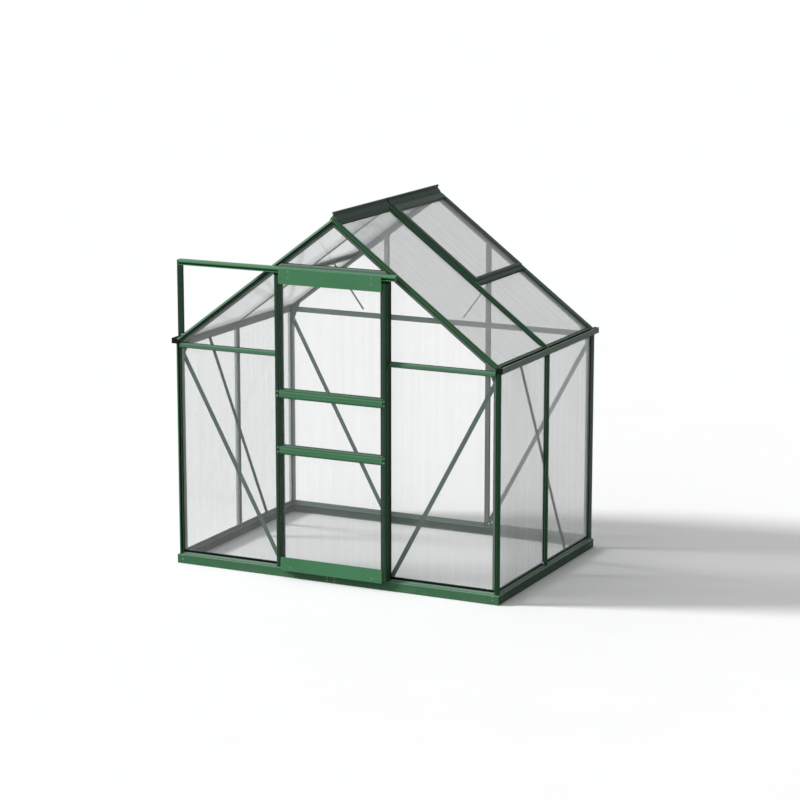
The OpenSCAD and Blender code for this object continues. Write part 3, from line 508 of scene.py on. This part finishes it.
def turned(profile, at, axis, sides=0, turn=0.0, dent=None, around=AROUND):
    """A head or washer turned about an axis. Its profile (radius, height) goes from the middle of the
    top to the middle of the foot: S(i, a) = at + r_i s(a) (cos a, sin a) + h_i axis. With sides, s(a) =
    cos(pi/sides) / cos(a mod 2pi/sides - pi/sides), a polygon. A dent (arm, width, depth) sinks a cross."""
    profile, axis = np.array(profile, float), np.array(axis, float)
    side = np.cross(axis, Z if abs(axis[2]) < 0.9 else X)
    side /= np.linalg.norm(side)
    up = np.cross(axis, side)
    a = np.arange(around) * TAU / around
    s = np.cos(math.pi / sides) / np.cos(a % (TAU / sides) - math.pi / sides) if sides else np.ones(around)
    ring = profile[1:-1]
    flat = ring[:, None, :1] * s[None, :, None] * np.stack([np.cos(a), np.sin(a)], 1)[None]
    rise = np.repeat(ring[:, None, 1:], around, 1)
    if dent:
        arm, width, depth = dent
        near = np.minimum(np.abs(flat[..., 0]), np.abs(flat[..., 1]))
        far = np.maximum(np.abs(flat[..., 0]), np.abs(flat[..., 1]))
        sunk = np.clip((width - near) / (0.4 * width), 0, 1) * np.clip((arm - far) / (0.3 * arm), 0, 1)
        on_top = (np.arange(len(ring)) < len(ring) // 2)[:, None]
        rise[..., 0] -= depth * sunk * on_top
    c, d = math.cos(turn), math.sin(turn)
    x, y = flat[..., :1] * c - flat[..., 1:] * d, flat[..., :1] * d + flat[..., 1:] * c
    body = (x * side + y * up + rise * axis).reshape(-1, 3)
    top = profile[0, 1] - (dent[2] if dent else 0)
    points = np.vstack([top * axis, body, profile[-1, 1] * axis]) + np.array(at, float)
    n = len(ring)
    j, k = np.arange(around), (np.arange(around) + 1) % around
    base = 1 + around * np.arange(n - 1)[:, None]
    quads = np.stack([base + j, base + around + j, base + around + k, base + k], 2).reshape(-1, 4).tolist()
    last = 1 + around * (n - 1)
    first = np.stack([np.zeros_like(j), 1 + j, 1 + k], 1).tolist()
    close = np.stack([np.full_like(j, 1 + n * around), last + k, last + j], 1).tolist()
    return points, outward(points - points.mean(0), first + quads + close)


def piece(name, shells, material, body, smooth=False):
    """One object out of closed shells given in millimetres."""
    shift = np.cumsum([0] + [len(points) for points, _ in shells])
    points = np.vstack([points for points, _ in shells]) * MM
    faces = [[int(v + s) for v in f] for (_, fs), s in zip(shells, shift) for f in fs]
    mesh = bpy.data.meshes.new(name)
    mesh.from_pydata(points.tolist(), [], faces)
    mesh.polygons.foreach_set("use_smooth", [smooth] * len(faces))
    mesh.materials.append(material)
    made = bpy.data.objects.new(name, mesh)
    bpy.context.collection.objects.link(made)
    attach(made, body)
    return made


# ---------------------------------------------------------------- rubber seals

# Outlines (across, height), in millimetres from a section's edge and from the sheets' outer face
BAR_SEAL = [(0.05, 0.05), (2.4, 0.05), (2.0, 1.0), (0.9, 2.0), (0.05, 2.4)]
NOSE_SEAL = [(0.05, 0.05), (2.6, 0.05), (2.2, 1.1), (1.0, 2.2), (0.05, 2.8)]
REBATE_SEAL = [(-9.9, 10.05), (-9.9, 12.4), (-9.2, 13), (-5.6, 12.8), (-4.4, 12), (-4.0, 10.05)]
SILL_SEAL = [(0.05, 0.05), (10, 0.05), (9.2, 1.8), (6, 3.2), (1, 3.8), (-1, 3.4), (0.05, 1.0)]
SIDE_SEAL = [(0.05, 0.05), (4, 0.05), (3.6, 1.4), (2, 2.6), (-1, 3), (0.05, 1.0)]
THIN_SEAL = [(0.05, 0.05), (3.2, 0.05), (2.8, 1.2), (1.2, 2.2), (0.05, 2.4)]
HEAD_SEAL = [(0.05, 0.5), (0.05, 11.2), (3, 12.4), (9, 12.4), (10, 11.2), (10, 0.5)]
# a thin black strip on the lower part of the eave's lap, as painted shade next to the gutter
LAP_SHADE_STRIP = [(0, 2.1), (16, 2.1), (16, 2.9), (0, 2.9)]


def roof_at(x, drop):
    """Height of the line that lies a given depth below the rafters' outer faces."""
    return APEX - abs(x) * math.tan(PITCH) - drop / math.cos(PITCH)


def gable_seals(plane):
    """Along both posts and rafters, the bars, the tie and the sill of one gable."""
    made = []
    inner = WALL - NOSE
    for s in (-1, 1):
        for outline in (REBATE_SEAL, NOSE_SEAL):
            made.append(strip(plane, (s * inner, FOOT), (s * inner, roof_at(inner, NOSE)), outline, s))
            made.append(strip(plane, (0, roof_at(0, NOSE)), (s * inner, roof_at(inner, NOSE)), outline, -s))
        posts = [(MULLION + HALF, s)] + ([(MULLION - HALF, -s)] if plane == "back" else [])
        for x, way in posts:
            made.append(strip(plane, (s * x, FOOT + SILL_LIP), (s * x, TIE - HALF), BAR_SEAL, -way))
            made.append(strip(plane, (s * x, TIE + HALF), (s * x, roof_at(x, NOSE) - ROOM), BAR_SEAL, -way))
        for z, way in ((TIE - HALF, -1), (TIE + HALF, 1)):
            made.append(strip(plane, (s * (MULLION + HALF), z), (s * inner, z), BAR_SEAL, s * way))
        made.append(strip(plane, (s * (MULLION + HALF), FOOT), (s * inner, FOOT), SILL_SEAL, s))
    if plane == "back":
        gap = MULLION - HALF
        made.append(strip(plane, (-gap, FOOT), (gap, FOOT), SILL_SEAL, 1))
        made.append(strip(plane, (-gap, TIE - HALF), (gap, TIE - HALF), BAR_SEAL, -1))
        made.append(strip(plane, (-gap, TIE + HALF), (gap, TIE + HALF), BAR_SEAL, 1))
    else:
        reach = (APEX - HEADER - HALF - NOSE / math.cos(PITCH)) / math.tan(PITCH)
        made.append(strip(plane, (-reach, HEADER + HALF), (reach, HEADER + HALF), BAR_SEAL, 1))
    return made


def wall_seals(plane):
    """Along both posts, the middle bar and the sill of one long wall."""
    half = (BACK - FRONT) / 2 - NOSE
    top = corner("mullions_side", 1)[2]
    made = []
    for s in (-1, 1):
        made.append(strip(plane, (s * half, FOOT), (s * half, top), NOSE_SEAL, s))
        made.append(strip(plane, (s * HALF, FOOT + SILL_LIP), (s * HALF, top), BAR_SEAL, -s))
        made.append(strip(plane, (s * HALF, FOOT), (s * half, FOOT), SIDE_SEAL, s))
    return made


def roof_seals_and_shade_strip(plane):
    """Along the rafters, the middle bar, the ridge, the cross bar and the eave of one slope, with a thin
    black strip on the eave's lap as painted shade.
    """
    half = (BACK - FRONT) / 2 - NOSE
    lap = EAVE_EDGE + LAP_START
    made = []
    for s in (-1, 1):
        low, high = (-half, -HALF) if s < 0 else (HALF, half)
        first = RIDGE_EDGE if s < 0 else CROSS + HALF
        made.append(strip(plane, (s * half, first), (s * half, EAVE_EDGE), NOSE_SEAL, s))
        made.append(strip(plane, (s * HALF, first), (s * HALF, EAVE_EDGE), BAR_SEAL, -s))
        made.append(strip(plane, (low, EAVE_EDGE), (high, EAVE_EDGE), THIN_SEAL, -1))
        made.append(strip(plane, (low, lap), (high, lap), LAP_SHADE_STRIP, 1))
    made.append(strip(plane, (HALF, CROSS + HALF), (half, CROSS + HALF), BAR_SEAL, 1))
    made.append(strip(plane, (-half, RIDGE_EDGE), (-HALF, RIDGE_EDGE), THIN_SEAL, 1))
    return made


def door_seal():
    """A draught strip along the door's head, under the track: its outline (y, z) carried along x."""
    low, high = corner("door_stiles", 0), corner("door_stiles", 1)
    flat = np.column_stack([np.zeros(len(HEAD_SEAL)), HEAD_SEAL]) + np.array([0, low[1] + 1, high[2] - 0.45])
    return [between(flat + (low[0] + 0.2) * X, flat + (high[0] - 0.2) * X)]


piece("seals_front", gable_seals("front"), rubber, HOUSE)
piece("seals_back", gable_seals("back"), rubber, HOUSE)
piece("seals_left", wall_seals("left"), rubber, HOUSE)
piece("seals_right", wall_seals("right"), rubber, HOUSE)
piece("seals_roof_left", roof_seals_and_shade_strip("slope_left"), rubber, HOUSE)
piece("seals_roof_right", roof_seals_and_shade_strip("slope_right"), rubber, HOUSE)
piece("door_seal", door_seal(), rubber, DOOR)


# ---------------------------------------------------------------- screws, rivets and nuts

# Outlines (radius, height), from the middle of the top to the middle of the foot
PAN = [(0, 2.1), (0.6, 2.1), (1.2, 2.06), (1.9, 1.9), (2.6, 1.5), (3.1, 1.0), (3.4, 0.4), (3.4, 0.02),
       (2, 0.02), (0, 0.02)]
RIVET = [(0, 0.046), (1, 0.046), (2.2, 0.044), (2.6, 0.03), (2.8, 0.012), (2.8, -0.4), (1, -0.4), (0, -0.4)]
NUT = [(0, 5), (2.4, 5), (2.6, 4.6), (4.4, 4.6), (5.0, 4.1), (5.0, 0.02), (3, 0.02), (0, 0.02)]
WASHER = [(0, 1.0), (3, 1.0), (6.0, 1.0), (6.4, 0.7), (6.4, 0.02), (3, 0.02), (0, 0.02)]
RECESS = (2.1, 0.65, 1.2)           # arm, half width and depth of a cross recess

# Places (x, z) of fixings, in millimetres, each on both sides of the middle
GUSSET_SPOTS = [(907, 1150), (908, 1220), (869, 1253), (898, 1139), (880, 72)]
BASE_SPOTS = [(917, 45), (917, 24)]
SPLICE_SPOTS = [(-39, 28), (6, 28), (-39, 12), (6, 12)]    # these four as they are
STILE_SPOTS = [(311, 1012), (311, 988), (311, 711), (311, 687)]
RIVET_SPOTS = [(241, 1648), (241, 1614), (241, 65)]
BRACE_SPOTS = [(898, 1139), (332, 72)]


def screws(places, axis):
    """Pan-headed screws with a cross recess, each turned its own way."""
    return [turned(PAN, at, axis, turn=DICE.uniform(0, TAU), dent=RECESS) for at in places]


def nuts(places, axis):
    """A hexagon nut on a washer at each place."""
    made = []
    for at in places:
        made.append(turned(WASHER, at, axis))
        on_washer = np.array(at) + 1.02 * np.array(axis)
        made.append(turned(NUT, on_washer, axis, sides=6, turn=DICE.uniform(0, TAU)))
    return made


def both_sides(places):
    """Each (x, z) place and its mirror image in the middle of the house."""
    return [(s * x, z) for x, z in places for s in (-1, 1)]


def gable_screws():
    """Corner plates' screws through the sheets, and those at the sills' ends, on both gables."""
    made = []
    for plane in ("front", "back"):
        origin, _, _, out = PLANES[plane]
        y = origin[1] + 0.03 * out[1]
        made += screws([(x, y, z) for x, z in both_sides(GUSSET_SPOTS)], out)
    return made


def base_screws():
    """Corner screws of the base's front, the four at its splice, and those on its two sides."""
    y = corner("base_front", 0)[1]
    made = screws([(x, y, z) for x, z in both_sides(BASE_SPOTS) + SPLICE_SPOTS], -Y)
    for s, node in ((-1, "base_left"), (1, "base_right")):
        x = corner(node, (s + 1) // 2)[0]
        made += screws([(x, MIDDLE + y, z) for y in (-600, 600) for z in (45, 24)], s * X)
    return made


def door_screws():
    """Screws through the stiles into the rails' ends."""
    y = corner("door_stiles", 0)[1]
    return screws([(x, y, z) for x, z in both_sides(STILE_SPOTS)], -Y)


def plate_rivets():
    """Flush rivets of the roller plates."""
    y = corner("door_head_plate", 0)[1]
    return [turned(RIVET, (x, y, z), -Y) for x, z in both_sides(RIVET_SPOTS)]


def brace_nuts():
    """Nuts inside both ends of the gable braces."""
    made = []
    for plane, s in (("front", 1), ("back", -1)):
        y = PLANES[plane][0][1] + s * 9
        made += nuts([(x, y, z) for x, z in both_sides(BRACE_SPOTS)], s * Y)
    return made


piece("gable_screws", gable_screws(), bright_zinc, HOUSE, True)
piece("base_screws", base_screws(), bright_zinc, HOUSE, True)
piece("door_screws", door_screws(), bright_zinc, DOOR, True)
piece("plate_rivets", plate_rivets(), bright_zinc, DOOR, True)
piece("brace_nuts", brace_nuts(), bright_zinc, HOUSE)


# ---------------------------------------------------------------- floor, light and camera

def pale_floor():
    """A wide flat floor of one pale matt colour with a faint mottle; light that comes off it is soft."""
    reach = 60.0
    mesh = bpy.data.meshes.new("floor")
    corners = [(-reach, -reach, 0), (reach, -reach, 0), (reach, reach, 0), (-reach, reach, 0)]
    mesh.from_pydata(corners, [], [(0, 1, 2, 3)])
    floor = bpy.data.objects.new("floor", mesh)
    bpy.context.collection.objects.link(floor)
    material, tree, shader = blank("floor_matt")
    mottle = noise(tree, placed(tree), 2.0, 3.0)
    pale = blend(tree, mottle, (0.845, 0.848, 0.850), (0.865, 0.868, 0.870))
    spread = add(tree, "LightPath").outputs["Is Diffuse Ray"]
    tree.links.new(blend(tree, spread, pale, (0.22, 0.225, 0.225)), shader.inputs["Base Color"])
    shader.inputs["Roughness"].default_value = 0.9
    shader.inputs["Specular IOR Level"].default_value = 0.0
    floor.data.materials.append(material)


def studio():
    """One soft key from the front left, and an even fill that weakens towards the right."""
    key = bpy.data.lights.new("key", "SUN")
    key.energy = 4.0
    key.angle = math.radians(11)
    lamp = bpy.data.objects.new("key", key)
    bpy.context.collection.objects.link(lamp)
    lamp.rotation_euler = Vector((0.804, 0.322, -0.50)).to_track_quat("-Z", "Y").to_euler()

    world = bpy.data.worlds.new("studio")
    bpy.context.scene.world = world
    world.use_nodes = True
    tree = world.node_tree
    toward = add(tree, "TexCoord").outputs["Generated"]
    from_left = (-0.70, -0.40, 0.59)
    side = add(tree, "VectorMath", {"operation": "DOT_PRODUCT"}, i0=toward, i1=from_left).outputs["Value"]
    fill = stretch(tree, side, -0.4, 1.0, 0.02, 0.90)
    path = add(tree, "LightPath").outputs
    plain = maths(tree, "MAXIMUM", path["Is Camera Ray"],
                  maths(tree, "MAXIMUM", path["Is Glossy Ray"], path["Is Transmission Ray"]))
    strength = add(tree, "Mix", {"data_type": "FLOAT"}, i0=plain, i2=fill, i3=1.0).outputs[0]
    back = tree.nodes["Background"]
    back.inputs["Color"].default_value = (1, 1, 1, 1)
    tree.links.new(strength, back.inputs["Strength"])


def look():
    """The camera: a long lens at head height above the right front corner."""
    lens = bpy.data.cameras.new("camera")
    lens.lens, lens.sensor_width = 119.55, 36.0
    lens.clip_end = 300.0
    camera = bpy.data.objects.new("camera", lens)
    bpy.context.collection.objects.link(camera)
    camera.location = (6.24765, -12.59165, 3.81521)
    camera.rotation_euler = (math.radians(90 - 11.838), 0, math.radians(26.09))
    bpy.context.scene.camera = camera
    bpy.context.scene.view_settings.view_transform = "Standard"


pale_floor()
studio()
look()
